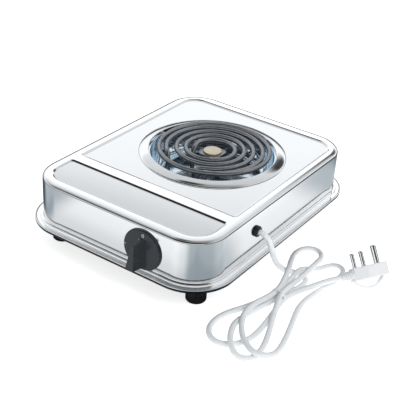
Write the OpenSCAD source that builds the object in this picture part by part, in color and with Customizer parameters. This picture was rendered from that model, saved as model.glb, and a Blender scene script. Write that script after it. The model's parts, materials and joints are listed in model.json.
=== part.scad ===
// Portable single hot plate burner: a pressed steel housing with a coil element over a drip bowl,
// a rotary switch behind a front knob, and a tied mains lead with a three-pin plug.
// The origin is on the resting surface, under the middle of the whole without its lead.
// Sizes below are from the middle of the housing, and placed() moves them. +Z is up and -Y is the front.

/* [Body] */
// Width of the housing between its side walls
body_w = 231; // [228:1:236]
// Depth of the housing between its front and rear walls
body_d = 299; // [296:1:304]
// Height of the housing's top rim above the resting surface
top_z = 82; // [82:0.5:84]
// Height of the foot of the walls above the resting surface
wall_low_z = 33.2; // [32.5:0.1:33.5]
// Outer radius of the housing's vertical corners
corner_r = 39.5; // [36:0.5:42]
// Thickness of the housing's sheet
sheet = 1; // [0.8:0.1:1.2]
// Depth that the two top panels are pressed in
panel_drop = 1.5; // [1:0.1:2]

/* [Burner] */
// Middle of the burner, left or right of the body's middle
burner_x = 3; // [0:0.5:5]
// Middle of the burner, to the rear of the body's middle
burner_y = 27; // [24:0.5:29]
// Inner radius of the trim ring
ring_in_r = 72.5; // [72:0.1:73]
// Outer radius of the trim ring
ring_out_r = 84; // [83:0.5:86]
// Diameter of the sheathed element tube
tube_d = 5.4; // [5:0.1:6]
// Height of the middle of the coiled tube above the top rim
coil_rise = 3.2; // [3:0.1:3.4]

/* [Knob] */
// Middle of the knob to the right of the body's middle
knob_x = 45; // [40:1:50]
// Height of the knob's axis below the top rim
knob_drop = 25; // [24.5:0.1:25]
// Radius of the knob's skirt
knob_r = 23; // [22:0.2:23]
// How far the knob stands out from the front wall
knob_reach = 25; // [24:0.5:27]

/* [Lead] */
// Diameter of the mains lead
cord_d = 6; // [5.8:0.1:6.1]
// Distance of the cable grommet in front of the body's middle
grommet_y = 53; // [51:1:55]
// Turn of the plug from straight back towards the right
plug_turn = 31; // [29:1:33]
// Tilt of the plug over onto its pull loop
plug_tilt = 41; // [40:0.5:42]

/* [Hidden] */

steel = "silver";
dark = [0.2, 0.21, 0.22];
gap = 0.02;
hw = body_w / 2;
hd = body_d / 2;
panel_z = top_z - panel_drop;
rim_r = 2.6;

// Base tray and feet
tray_lip = 9.2;
tray_z = 27.2;
foot_x = 91;
foot_y = 122;
foot_r = 11;
bracket_x = 104;
bracket_y = 70;
dish_drop = 6;
dish_z = tray_z - dish_drop + 1;
dish_w = 160;
dish_d = 226;

// Drip bowl: a flat floor and a wall that is a quarter of an ellipse
bowl_flat = 56;
bowl_round = 15.6;
bowl_deep = 27.5;
bowl_sheet = 0.6;
bowl_floor = panel_z - bowl_deep;

// Coils: start angle, start radius, growth in each turn, turns, and how far the last part tucks in
coil_z = top_z + coil_rise;
tube_r = tube_d / 2;
leg_bend = 9;
leg_end_z = 47;
INNER = [195, 20.5, 10.6, 2.733, 0];
OUTER = [225, 52.4, 8.6, 1.8, 80];
tuck_from = 1.45;

// Knob, switch and their shaft
knob_z = top_z - knob_drop;
shaft_r = 3;
shaft_flat = 2.2;
wall_in = hd - sheet;
plate_t = 1.2;
case_w = 34;
case_h = 30;
case_deep = 24;

// Lead and plug
grommet_z = knob_z + 2;
grommet_out = 4.8;
cord_r = cord_d / 2;
lay = 3.2;
over = 9.4;
CORD = [
    // Out of the grommet, down to the surface and round into the tie
    [hw + grommet_out, -grommet_y, grommet_z], [125, -53, 58.3], [128.8, -52.2, 55.2], [131, -50.2, 49.5],
    [132, -46.8, 41], [133.2, -41.3, 27], [135.4, -33.5, 14], [139.8, -26, 6.5], [146.5, -19.5, 3.6],
    [154.5, -17, lay], [162.3, -20.5, lay], [166.3, -29, lay], [165.8, -40.5, lay], [162.5, -52, lay],
    [159.5, -62, 3.5], [158, -71, 4],
    // Middle loop in front
    [155, -86, lay], [151, -101, lay], [148.5, -116, lay], [148.5, -130, 5.5], [151.5, -144, over],
    [157, -158, over], [165.5, -170.5, 9], [176, -177, 6], [185.5, -173.5, 3.6], [189.8, -163.5, lay],
    [188.8, -150, lay], [185, -136.2, 3.4], [179.8, -121.8, 4.8], [174.8, -108.4, 7.6], [170.2, -96, 9.6],
    [165.5, -83, 10.6], [161.2, -71, 9.6],
    // Long loop at the back
    [160.6, -58, over], [161.5, -40, over], [162.5, -23, 10], [162.5, -7, 10.8], [160.8, 8, 8.6],
    [158, 21, 5.2],
    [153, 31, 3.6], [144.5, 35.5, lay], [135.5, 31.5, lay], [130.8, 21.5, 3.8], [132, 8, 6], [136.5, -6, 9],
    [142, -20, 11.2], [147, -33, 11.8], [151, -47, 11], [154, -59, 10.2], [154.8, -71, 9.6],
    // Over the left loop and down to the right
    [153, -84, over], [149.5, -97, over], [148.2, -111, over], [150.5, -124, 10], [156, -136.5, 10],
    [163.5, -148, over], [172.5, -157.5, over], [183, -164.5, 9.8], [191.4, -167.4, 9.8],
    [199.6, -163.2, 8.4], [203.4, -153.5, 5.4], [202.6, -141.4, 3.4], [199.9, -127.8, lay],
    [196.1, -113.8, lay], [191.7, -99.2, lay], [187, -84.5, lay], [183.3, -69.5, lay],
    [182.5, -53.5, lay], [184.5, -37, lay],
    // Right loop at the back
    [187, -20, lay], [189.5, -4, lay], [190.3, 9, lay], [187.3, 18.5, lay], [180, 22.5, lay],
    [172.7, 18.8, lay],
    [168, 10, lay], [163.5, 1, lay], [158.5, -8, 6.2], [154.5, -18.5, 9.6], [152.8, -30, 7.2],
    [152.6, -44, 4], [152.2, -58, 3.5], [151.6, -71, 4],
    // Left loop in front
    [147.8, -85, lay], [142.8, -99, lay], [137.5, -112, lay], [131.8, -125, lay], [128.8, -139, lay],
    [130, -153, lay], [137, -165, lay], [149, -170, lay], [161, -165.5, lay], [169, -154, lay],
    [172.3, -139, lay], [171.5, -121, lay], [169, -103, lay], [166.3, -86, 3.5], [164.4, -71, 4],
    // Out of the tie and up to the plug
    [166.3, -59.5, 4.4], [171, -49, 6.2], [177.5, -40, 8.8], [184.5, -31.5, 11.8], [192, -22.6, 14.6],
    [199.53, -12.57, 15.8]];
tie_at = [158, -71];
STRANDS = [[-6.4, 4], [0, 4], [6.4, 4], [-3.2, 9.6], [3.2, 9.6]];
plug_at = [215.5, 14, 15.8];

// ---- Helpers ----

// Points of an arc in a plane, from angle a0 to a1
function arc(x, y, r, a0, a1, n = 8) =
    [for (i = [0:n]) let(a = a0 + (a1 - a0) * i / n) [x + r * cos(a), y + r * sin(a)]];
function polar(r, a) = [r * cos(a), r * sin(a)];
function unit(v) = v / norm(v);

// The direction of a path at point i, and a side vector carried along it without twist
function heading(p, i) = unit(p[min(i + 1, len(p) - 1)] - p[max(i - 1, 0)]);
function square_to(v, t) = unit(v - (v * t) * t);
function sides(p, first) =
    [for (i = 0, v = square_to(first, heading(p, 0)); i < len(p);
        i = i + 1, v = i < len(p) ? square_to(v, heading(p, i)) : v) v];

// A round tube along the points of path
module tube(path, r, n = 10, first = [0.13, 0.1, 1]) {
    side = sides(path, first);
    points = [for (i = [0:len(path) - 1])
        let(t = heading(path, i), u = side[i], w = cross(t, u))
        for (k = [0:n - 1]) path[i] + r * (cos(360 * k / n) * u + sin(360 * k / n) * w)];
    walls = [for (i = [0:len(path) - 2], k = [0:n - 1])
        let(a = i * n + k, b = i * n + (k + 1) % n, c = b + n, d = a + n) each [[d, c, b], [d, b, a]]];
    start = [for (k = [0:n - 1]) k];
    finish = [for (k = [n - 1:-1:0]) (len(path) - 1) * n + k];
    polyhedron(points, concat([start], walls, [finish]), convexity = 10);
}

// Sweeps a profile (x out from the corner's middle, y up) round a rounded rectangle
module around(w, d, r) {
    for (c = [[1, 1, 0], [-1, 1, 90], [-1, -1, 180], [1, -1, 270]])
        translate([c[0] * (w / 2 - r), c[1] * (d / 2 - r), 0])
            rotate([0, 0, c[2]]) rotate_extrude(angle = 90, $fn = 96) children();
    for (m = [0, 1]) {
        mirror([m, 0, 0]) translate([w / 2 - r, 0, 0])
            rotate([90, 0, 0]) linear_extrude(d - 2 * r, center = true) children();
        mirror([0, m, 0]) translate([0, d / 2 - r, 0])
            rotate([90, 0, 90]) linear_extrude(w - 2 * r, center = true) children();
    }
}

// A rectangle with front corners of radius rf and rear corners of radius rr
module panel(x, y0, y1, rf, rr) {
    translate([-x, y0 + rf]) square([2 * x, y1 - y0 - rf - rr]);
    translate([-x + rf, y0]) square([2 * (x - rf), y1 - y0 - rr]);
    translate([-x + rr, y0 + rf]) square([2 * (x - rr), y1 - y0 - rf]);
    for (s = [-1, 1]) {
        translate([s * (x - rf), y0 + rf]) circle(rf, $fn = 64);
        translate([s * (x - rr), y1 - rr]) circle(rr, $fn = 64);
    }
}

module rounded(w, d, r) { panel(w / 2, -d / 2, d / 2, r, r); }

// Something at each of four places, mirrored across both planes
module four(x, y) { for (sx = [-1, 1], sy = [-1, 1]) translate([sx * x, sy * y, 0]) children(); }

// The same thing in all four quarters, mirrored
module mirrored() { for (mx = [0, 1], my = [0, 1]) mirror([mx, 0, 0]) mirror([0, my, 0]) children(); }

// Puts the middle of the whole, from the knob's front to the base's rear edge, at y = 0
module placed() { translate([0, (knob_reach - tray_lip) / 2, 0]) children(); }

module at_burner() { translate([burner_x, burner_y, 0]) children(); }

// A pan-head screw along +Z: its head sits under z = 0 and its shank reaches up
module screw(r, long, head_r, head_h) {
    translate([0, 0, -head_h]) cylinder(r = head_r, h = head_h, $fn = 48);
    cylinder(r = r, h = long, $fn = 32);
}

module nut(across, bore, h) {
    difference() {
        cylinder(r = across / sqrt(3), h = h, $fn = 6);
        translate([0, 0, -1]) cylinder(r = bore, h = h + 2, $fn = 32);
    }
}

// ---- Housing and base ----

function wall_profile() =
    let(r = corner_r, t = sheet, z = wall_low_z, k = rim_r - t)
    concat(arc(r - rim_r, top_z - rim_r, rim_r, 90, 0), arc(r + 1.6, z + 1.6, 1.6, 180, 270, 5),
        [[r + 3, z], [r + 3.4, z - 0.4], [r + 3.4, z - 1.6], [r + 3.8, z - 2], [r + 7, z - 2],
        [r + 7.5, z - 2.5], [r + 7.5, tray_z + 1], [r + 6.5, tray_z + 1], [r + 6.5, z - 3],
        [r + 2.4, z - 3], [r + 2.4, z - 1], [r - t, z - 1]],
        arc(r - rim_r, top_z - rim_r, k, 0, 90), [[r - 8, top_z - t], [r - 8, top_z]]);

// The two pressed panels, grown outwards by g
module panels(g) {
    panel(103 + g, -77 - g, 134.5 + g, 3 + g, 20 + g);
    panel(103 + g, -136.5 - g, -92 + g, 24 + g, 3 + g);
}

module housing() color(steel) placed() difference() {
    union() {
        around(body_w, body_d, corner_r) polygon(wall_profile());
        translate([0, 0, top_z - sheet])
            linear_extrude(sheet) rounded(body_w - 10, body_d - 10, corner_r - 5);
        translate([0, 0, panel_z - sheet]) linear_extrude(panel_drop + sheet) panels(sheet);
    }
    translate([0, 0, panel_z]) linear_extrude(10) panels(0);
    translate([burner_x, burner_y, 60]) cylinder(r = 75, h = 40, $fn = 128);
    translate([knob_x, -hd + 3, knob_z]) rotate([90, 0, 0]) {
        cylinder(r = 5, h = 6, $fn = 48);
        for (s = [-1, 1]) translate([s * 13, 0, 0]) cylinder(r = 1.65, h = 6, $fn = 32);
    }
    translate([hw - 4, -grommet_y, grommet_z]) rotate([0, 90, 0]) cylinder(r = 4.6, h = 8, $fn = 48);
}

module tray_brackets() color(steel) placed() mirrored() difference() {
    union() {
        translate([98, bracket_y - 8, tray_z + 1]) cube([hw - sheet - 98, 16, plate_t]);
        translate([hw - sheet - plate_t, bracket_y - 8, tray_z + 1]) cube([plate_t, 16, 16]);
    }
    translate([bracket_x, bracket_y, tray_z]) cylinder(r = 1.95, h = 4, $fn = 32);
}

function tray_profile() =
    let(r = corner_r + tray_lip, z = tray_z)
    concat([[corner_r - 8, z + 1], [corner_r - 8, z]], arc(r - 1.6, z + 1.6, 1.6, -90, 0, 5),
        [[r, z + 4], [r - 0.3, z + 4.3], [r - 0.7, z + 4.3], [r - 1, z + 4]],
        arc(r - 1.6, z + 1.6, 0.6, 0, -90, 3));

module base_tray() color(dark) placed() difference() {
    union() {
        around(body_w, body_d, corner_r) polygon(tray_profile());
        translate([0, 0, tray_z]) linear_extrude(1) rounded(body_w - 10, body_d - 10, corner_r - 5);
        translate([0, 0, dish_z - 1]) linear_extrude(dish_drop + 1) rounded(dish_w, dish_d, 20);
    }
    translate([0, 0, dish_z]) linear_extrude(20) rounded(dish_w - 2, dish_d - 2, 19);
    for (x = [-40:20:40]) translate([x - 2.5, 10, dish_z - 5]) cube([5, 40, 10]);
    four(foot_x, foot_y) translate([0, 0, tray_z - 2]) cylinder(r = 2.05, h = 6, $fn = 32);
    four(bracket_x, bracket_y) translate([0, 0, tray_z - 2]) cylinder(r = 1.95, h = 6, $fn = 32);
    for (p = dish_holes()) translate([p[0], p[1], dish_z - 5]) cylinder(r = p[2], h = 10, $fn = 32);
}

module feet() color("#1c1d1e") placed() four(foot_x, foot_y) rotate_extrude($fn = 64)
    polygon(concat([[2.05, tray_z], [2.05, 10], [4.5, 10], [4.5, 0]], arc(foot_r - 2, 1.6, 1.6, -90, 0, 5),
        [[foot_r, 6], [foot_r, tray_z]]));

module foot_screws() color(steel) placed() four(foot_x, foot_y) translate([0, 0, 10]) screw(2, 23, 3.8, 2.6);

module foot_nuts() color(steel) placed() four(foot_x, foot_y) translate([0, 0, tray_z + 1]) nut(7, 2.03, 3.2);

module tray_screws() color(steel) placed()
    four(bracket_x, bracket_y) translate([0, 0, tray_z]) screw(1.9, 6, 3.8, 2.5);

// ---- Burner ----

module burner_ring() color("#dfe3e6") placed() at_burner() rotate_extrude($fn = 128) polygon([
    [ring_in_r, panel_z + 0.6], [ring_in_r, panel_z + 3], [ring_in_r + 0.3, panel_z + 3.5],
    [ring_in_r + 0.9, panel_z + 3.8], [ring_in_r + 1.7, panel_z + 3.7], [ring_out_r, panel_z + 0.8],
    [ring_out_r, panel_z], [ring_out_r - 1.6, panel_z], [ring_out_r - 1.6, panel_z + 0.4],
    [ring_in_r + 1.9, panel_z + 2.7], [ring_in_r + 0.8, panel_z + 2.8], [ring_in_r + 0.8, panel_z + 0.6]]);

// Points of the bowl's wall, with its radii grown by g
function bowl_curve(g, a0, a1) =
    [for (i = [0:12]) let(a = a0 + (a1 - a0) * i / 12)
        [bowl_flat + (bowl_round + g) * cos(a), panel_z + (bowl_deep + g) * sin(a)]];

module reflector_bowl() color("#5a6066") placed() at_burner() difference() {
    rotate_extrude($fn = 128) polygon(concat([[0, bowl_floor]], bowl_curve(0, -90, 0),
        [[80, panel_z], [80, panel_z + bowl_sheet],
            [bowl_flat + bowl_round - bowl_sheet, panel_z + bowl_sheet]],
        bowl_curve(-bowl_sheet, 0, -90), [[0, bowl_floor + bowl_sheet]]));
    translate([0, 0, bowl_floor - 5]) cylinder(r = 2.1, h = 10, $fn = 32);
    for (p = legs()) translate([p[0], p[1], bowl_floor - 5]) cylinder(r = 4.7, h = 15, $fn = 48);
}

// A coil's angle, point and clockwise direction at t turns
function coil_angle(c, t) = c[0] - 360 * t;
function coil_point(c, t) =
    let(out = max(0, t - tuck_from)) polar(c[1] + c[2] * t - c[4] * out * out, coil_angle(c, t));
function coil_way(c, t) = [sin(coil_angle(c, t)), -cos(coil_angle(c, t))];
function leg_point(c, t, m) = coil_point(c, t) + m * leg_bend * coil_way(c, t);
function legs() = [for (c = [INNER, OUTER], e = [0, 1]) leg_point(c, e * c[3], 2 * e - 1)];

// One end of a coil: a quarter bend from the leg (a = 90) up to the coil (a = 0)
function bend(c, t, m, a) =
    let(p = coil_point(c, t) + m * leg_bend * sin(a) * coil_way(c, t))
        [p[0], p[1], coil_z - leg_bend * (1 - cos(a))];
function coil_path(c, step) =
    let(s = leg_point(c, 0, -1), e = leg_point(c, c[3], 1), n = ceil(c[3] * 360 / step))
    concat([[s[0], s[1], leg_end_z], [s[0], s[1], 62]], [for (a = [90:-18:18]) bend(c, 0, -1, a)],
        [for (i = [0:n]) let(p = coil_point(c, c[3] * i / n)) [p[0], p[1], coil_z]],
        [for (a = [18:18:90]) bend(c, c[3], 1, a)], [[e[0], e[1], 62], [e[0], e[1], leg_end_z]]);

module inner_coil() color("#3a3d40") placed()
    at_burner() tube(coil_path(INNER, 10), tube_r, 10, [1, 0.2, 0.1]);

module outer_coil() color("#3a3d40") placed()
    at_burner() tube(coil_path(OUTER, 8), tube_r, 10, [1, 0.2, 0.1]);

module coil_support() color(steel) placed() at_burner() difference() {
    union() {
        translate([0, 0, 74]) cylinder(r = 9, h = 6, $fn = 64);
        for (a = [60, 180, 300]) rotate([0, 0, a]) translate([0, -0.8, 74]) {
            cube([17.4, 1.6, 6]);
            translate([16.4, 0, 2]) cube([54.2, 1.6, coil_z - tube_r - gap - 76]);
        }
    }
    translate([0, 0, 70]) cylinder(r = 2.1, h = 20, $fn = 32);
}

module hub_plate() color("#33363a") placed() at_burner() translate([0, 0, 80]) difference() {
    linear_extrude(1.5)
        polygon([[9, -13], [13, -9], [13, 9], [9, 13], [-9, 13], [-13, 9], [-13, -9], [-9, -13]]);
    translate([0, 0, -1]) cylinder(r = 2.1, h = 4, $fn = 32);
}

module center_cap() color("#efe9da") placed() at_burner() rotate_extrude($fn = 64)
    polygon(concat([[4.2, 81.5], [4.2, 83.25], [0, 83.25], [0, 83.8]], arc(9.5, 83, 0.8, 90, 0, 4),
        [[10.3, 81.5]]));

module hub_spacer() color(steel) placed()
    at_burner() translate([0, 0, bowl_floor + bowl_sheet]) difference() {
    cylinder(r = 5, h = 74 - bowl_floor - bowl_sheet, $fn = 48);
    translate([0, 0, -1]) cylinder(r = 2.1, h = 30, $fn = 32);
}

module hub_bolt() color(steel) placed() at_burner() {
    translate([0, 0, 81.5]) cylinder(r = 3.8, h = 1.7, $fn = 48);
    translate([0, 0, 46]) cylinder(r = 2, h = 36, $fn = 32);
}

module hub_nut() color(steel) placed() at_burner() translate([0, 0, bowl_floor - 3.2]) nut(7, 2.03, 3.2);

module element_bushings() color("#e6e2d8") placed() at_burner() for (p = legs())
    translate([p[0], p[1], bowl_floor]) difference() {
        union() {
            translate([0, 0, -2.4]) cylinder(r = 5.4, h = 2.4, $fn = 48);
            translate([0, 0, -1]) cylinder(r = 4.6, h = 5.5, $fn = 48);
        }
        translate([0, 0, -4]) cylinder(r = tube_r + 0.1, h = 12, $fn = 48);
    }

module element_terminals() color("#c9a94f") placed() at_burner() for (p = legs()) translate([p[0], p[1], 0]) {
    translate([0, 0, 38]) cylinder(r = 1.2, h = leg_end_z - 38, $fn = 24);
    translate([0, 0, 39.5]) cylinder(r = 3, h = 3, $fn = 6);
}

// ---- Knob and switch: made along +Z outwards from the front wall ----

module at_switch() { translate([knob_x, -hd, knob_z]) rotate([90, 0, 0]) children(); }

module knob() color("#3c4144") placed() at_switch() difference() {
    union() {
        rotate_extrude($fn = 96)
            polygon(concat([[0, 6], [0, 2], [knob_r, 2]], arc(knob_r - 1.2, 4.8, 1.2, 0, 90, 4)));
        intersection() {
            translate([0, 0, 5]) rotate([90, 0, 0]) linear_extrude(40, center = true)
                polygon([[-6.5, 0], [6.5, 0], [4.2, 12], [3.5, knob_reach - 5.8], [2.9, knob_reach - 5],
                    [-2.9, knob_reach - 5], [-3.5, knob_reach - 5.8], [-4.2, 12]]);
            translate([0, 0, 5]) rotate([0, -90, 0]) linear_extrude(20, center = true)
                polygon([[0, -17], [0, 17], [knob_reach - 6, 15.9],
                    [knob_reach - 5, 15], [knob_reach - 5, -15],
                    [knob_reach - 6, -15.9]]);
        }
        for (a = [150, 90]) rotate([0, 0, a]) translate([20, -0.5, 5.9]) cube([2, 1, 0.3]);
    }
    difference() {
        translate([0, 0, 1]) cylinder(r = shaft_r + 0.02, h = 17.7, $fn = 64);
        translate([-5, shaft_flat + 0.02, 0]) cube([10, 5, 20]);
    }
}

module switch_shaft() color(steel) placed() at_switch() difference() {
    translate([0, 0, -24]) cylinder(r = shaft_r, h = 42.5, $fn = 64);
    translate([-5, shaft_flat, 1.8]) cube([10, 5, 20]);
}

module switch_rotor() color("#b98b4a") placed() at_switch() difference() {
    translate([0, 0, -23.9]) cylinder(r = 10.6, h = 16.1, $fn = 64);
    for (a = [0:60:300]) rotate([0, 0, a]) translate([12, 0, -24]) cylinder(r = 3, h = 10, $fn = 32);
    translate([0, 0, -28]) cylinder(r = shaft_r + 0.02, h = 30, $fn = 64);
}

module switch_plate() color(steel) placed() at_switch() translate([0, 0, -sheet - plate_t]) difference() {
    translate([-20, -15, 0]) cube([40, 30, plate_t]);
    translate([0, 0, -1]) cylinder(r = 5, h = 4, $fn = 48);
    for (s = [-1, 1]) translate([s * 13, 0, -1]) cylinder(r = 1.65, h = 4, $fn = 32);
}

module switch_case() color("#2b2b2b") placed()
    at_switch() translate([0, 0, -sheet - plate_t - case_deep]) difference() {
    translate([-case_w / 2, -case_h / 2, 0]) cube([case_w, case_h, case_deep]);
    translate([0, 0, -1]) cylinder(r = 11, h = case_deep - 4.3, $fn = 96);
    translate([0, 0, -1]) cylinder(r = shaft_r + 0.05, h = case_deep + 2, $fn = 64);
    for (s = [-1, 1]) {
        translate([s * 13, 0, case_deep - 5]) cylinder(r = 1.62, h = 6, $fn = 32);
        translate([s * 14, s * -12, -1]) cylinder(r = 1.22, h = 7, $fn = 32);
    }
}

// Places of the three contacts on the switch's cover
contacts = [[-7, 3], [7, 3], [0, -7]];
cover_z = -sheet - plate_t - case_deep - 2;

module switch_cover() color("#2b2b2b") placed() at_switch() translate([0, 0, cover_z]) difference() {
    translate([-case_w / 2, -case_h / 2, 0]) cube([case_w, case_h, 2]);
    for (s = [-1, 1]) translate([s * 14, s * -12, -1]) cylinder(r = 1.22, h = 4, $fn = 32);
    for (c = contacts) translate([c[0] - 2.42, c[1] - 0.42, -1]) cube([4.84, 0.84, 4]);
}

module switch_contacts() color("#c9a94f") placed() at_switch() for (c = contacts)
    translate([c[0] - 2.4, c[1] - 0.4, cover_z - 7]) cube([4.8, 0.8, 10.5]);

module switch_screws() color(steel) placed() at_switch() for (s = [-1, 1]) {
    translate([s * 13, 0, 0]) mirror([0, 0, 1]) screw(1.6, 6.5, 2.9, 1.1);
    translate([s * 14, s * -12, cover_z]) screw(1.2, 7, 2.2, 1.2);
}

// ---- Mains entry and wiring ----

module cable_grommet() color("#1c1d1e") placed()
    translate([hw, -grommet_y, grommet_z]) rotate([0, 90, 0]) rotate_extrude($fn = 64)
    polygon(concat([[cord_r + 0.05, -3], [6, -3], [6, -sheet], [4.58, -sheet], [4.58, 0], [5.6, 0]],
        arc(3.6, 2.8, 2, 0, 90, 5), [[cord_r + 0.05, grommet_out]]));

module inner_cord() color("#f2f2ef") placed() tube([[hw + grommet_out, -grommet_y, grommet_z],
    [hw, -grommet_y, grommet_z],
    [109, -grommet_y, grommet_z], [100, -54, 58], [90, -60, 50], [84, -68, 39], [76, -76, 29.5],
    [67, -81.5, 25.4],
    [58, -86, 25.4], [49, -90.5, 25.4], [36, -94.5, 27], [28, -95, 28]], cord_r, 12, [0, 0.1, 1]);

module at_clamp() { translate([58, -86, dish_z]) rotate([0, 0, 26.6]) children(); }

module cord_clamp() color(steel) placed() at_clamp() difference() {
    union() {
        translate([-4, 0, cord_r + 0.2]) rotate([0, 90, 0]) cylinder(r = cord_r + 1.3, h = 8, $fn = 48);
        translate([-4, -cord_r - 1.3, 0]) cube([8, 2 * cord_r + 2.6, cord_r + 0.2]);
        translate([-4, -12, 0]) cube([8, 24, 1.2]);
    }
    translate([-5, 0, cord_r + 0.2]) rotate([0, 90, 0]) cylinder(r = cord_r + 0.15, h = 10, $fn = 48);
    translate([-5, -cord_r - 0.15, -5]) cube([10, 2 * cord_r + 0.3, cord_r + 5.2]);
    translate([-5, -15, -5]) cube([10, 30, 5]);
    for (s = [-1, 1]) translate([0, s * 8.4, -1]) cylinder(r = 1.25, h = 4, $fn = 24);
}

module clamp_screws() color(steel) placed() at_clamp() for (s = [-1, 1])
    translate([0, s * 8.4, 1.2]) mirror([0, 0, 1]) screw(1.2, 5, 2.4, 1.4);

// Line, earth and neutral positions through the block, front to rear
poles = [-101, -95, -89];
block_x = [-19, 15];

module terminal_block() color("#e9e6dc") placed() difference() {
    translate([block_x[0], -105, dish_z]) cube([block_x[1] - block_x[0], 20, 14]);
    for (y = poles) {
        translate([block_x[0] - 1, y, 31]) rotate([0, 90, 0]) cylinder(r = 1.4, h = 40, $fn = 32);
        for (x = [-12, 8]) translate([x, y, 31]) cylinder(r = 1.32, h = 10, $fn = 24);
    }
    for (y = [-98, -92]) translate([-2, y, dish_z - 1]) cylinder(r = 1.12, h = 20, $fn = 24);
}

module block_screws() color(steel) placed() {
    for (y = poles, x = [-12, 8]) translate([x, y, 32.5]) cylinder(r = 1.3, h = 3.4, $fn = 24);
    for (y = [-98, -92]) translate([-2, y, dish_z + 14]) mirror([0, 0, 1]) screw(1.1, 18, 2.1, 1.2);
}

function dish_holes() = [[-50, -60, 2.02], [-2, -98, 1.12], [-2, -92, 1.12],
    [58 - 8.4 * sin(26.6), -86 + 8.4 * cos(26.6), 1.22], [58 + 8.4 * sin(26.6), -86 - 8.4 * cos(26.6), 1.22]];

// A ring lug round a stud, with a tab towards direction a
module lug(x, y, z, a, r = 1.25) translate([x, y, z]) difference() {
    union() {
        cylinder(r = r + 2, h = 0.8, $fn = 32);
        rotate([0, 0, a]) translate([0, -1.2, 0]) cube([5.5, 2.4, 0.8]);
    }
    translate([0, 0, -1]) cylinder(r = r, h = 3, $fn = 32);
}

// The push-on end of a lead over contact c of the switch
module push_on(c) at_switch() translate([c[0], c[1], cover_z - 9.5]) difference() {
    translate([-3.1, -1.4, 0]) cube([6.2, 2.8, 8.5]);
    translate([-2.45, -0.45, 2.4]) cube([4.9, 0.9, 8]);
}

function contact_end(c) = [knob_x + c[0], -hd - cover_z + 9, knob_z + c[1]];
function stud(i) = [burner_x + legs()[i][0], burner_y + legs()[i][1], 42.5];

module live_lead() color("#7b3f1d") placed() {
    e = contact_end(contacts[2]);
    push_on(contacts[2]);
    tube([[-14, poles[0], 31], [-20, poles[0], 31], [-26, -99, 33.5], [-26, -93, 38.5],
        [-18, -88, 43], [0, -88, 46.5],
        [24, -91, 49], [37, -95, 50.5], [e[0], -101, e[2] + 0.3], e], 1.2, 8, [0, 0.1, 1]);
}

module neutral_lead() color("#2f5fa8") placed() {
    a = stud(2);
    b = stud(0);
    tube([[-14, poles[2], 31], [-20, poles[2], 31], [-26, -86, 32], [-32, -72, 36], [-33, -50, 40],
        [a[0] - 1, a[1] - 12, 42.2], [a[0], a[1] - 4.2, 42.9]], 1.2, 8, [0, 0.1, 1]);
    lug(a[0], a[1], a[2], 270);
    lug(a[0], a[1], a[2], 90);
    tube([[a[0], a[1] + 4.2, 42.9], [a[0] + 1, a[1] + 9, 42.2], [a[0] + 6, a[1] + 17, 41.6],
        [b[0] - 1, b[1] - 10, 42],
        [b[0], b[1] - 4.2, 42.9]], 1.2, 8, [0, 0.1, 1]);
    lug(b[0], b[1], b[2], 270);
}

module element_leads() color("#8c2f2a") placed() {
    a = stud(1);
    b = stud(3);
    ea = contact_end(contacts[0]);
    eb = contact_end(contacts[1]);
    push_on(contacts[0]);
    push_on(contacts[1]);
    lug(a[0], a[1], a[2], 270);
    lug(b[0], b[1], b[2], 270);
    tube([ea, [ea[0] - 1, -102, 59.5], [34, -90, 55], [28, -75, 47], [22, -56, 41.5], [15, -38, 41],
        [a[0], a[1] - 9, 42.2], [a[0], a[1] - 4.2, 42.9]], 1.2, 8, [0, 0.1, 1]);
    tube([eb, [eb[0], -102, 59.5], [49, -90, 55], [42, -75, 47], [34, -58, 41.5], [25, -44, 41],
        [b[0], b[1] - 9, 42.2], [b[0], b[1] - 4.2, 42.9]], 1.2, 8, [0, 0.1, 1]);
}

module earth_lead() color("#6f9a3a") placed() {
    lug(-50, -60, dish_z + 3.2, 270, 2.05);
    tube([[-14, poles[1], 31], [-20, poles[1], 31], [-27, -93.5, 30.5], [-38, -85, 28.5], [-47, -74, 26.6],
        [-50, -66, 25.8], [-50, -64.6, 25.8]], 1.2, 8, [0, 0.1, 1]);
}

module earth_stud() color(steel) placed() translate([-50, -60, dish_z]) {
    translate([0, 0, -1]) screw(2, 12, 3.8, 1.6);
    for (z = [0, 4]) translate([0, 0, z]) cylinder(r = 4, h = 3.2, $fn = 6);
}

module supply_cores() color("#a07f4a") placed() {
    for (k = [[-1.3, -0.4, 0], [0, 1.3, 1], [1.3, -0.4, 2]])
        tube([[27.4, -95 + k[0], 28 + k[1]], [23, -95 + 2.2 * k[0], 29.2 + k[1] * 0.6], [19, poles[k[2]], 31],
            [15, poles[k[2]], 31], [6, poles[k[2]], 31]], 1, 8, [0, 0.1, 1]);
}

// ---- Mains lead, tie and plug ----

module power_cord() color("#f4f4f2") placed() tube(CORD, cord_r, 10);

module cord_tie() color("#f4f4f2") placed() translate([tie_at[0], tie_at[1], 0]) rotate([90, 0, 0])
    linear_extrude(3, center = true) difference() {
        hull() for (c = STRANDS) translate(c) circle(cord_r + 1.2, $fn = 32);
        hull() for (c = STRANDS) translate(c) circle(cord_r + 0.3, $fn = 32);
    }

// Inside the plug's frame x runs across its line pins, y towards its earth pin and z along them
module at_plug() { translate(plug_at) rotate([0, 0, -plug_turn]) rotate([0, -plug_tilt, 0]) children(); }

// An outline with its corners p cut to short curves that start d away from them
function softened(p, d) = [for (i = [0:len(p) - 1], k = [0:4])
    let(n = len(p), b = p[i], s = k / 4,
        a = b + d * unit(p[(i + n - 1) % n] - b), c = b + d * unit(p[(i + 1) % n] - b))
    (1 - s) * (1 - s) * a + 2 * s * (1 - s) * b + s * s * c];

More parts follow.
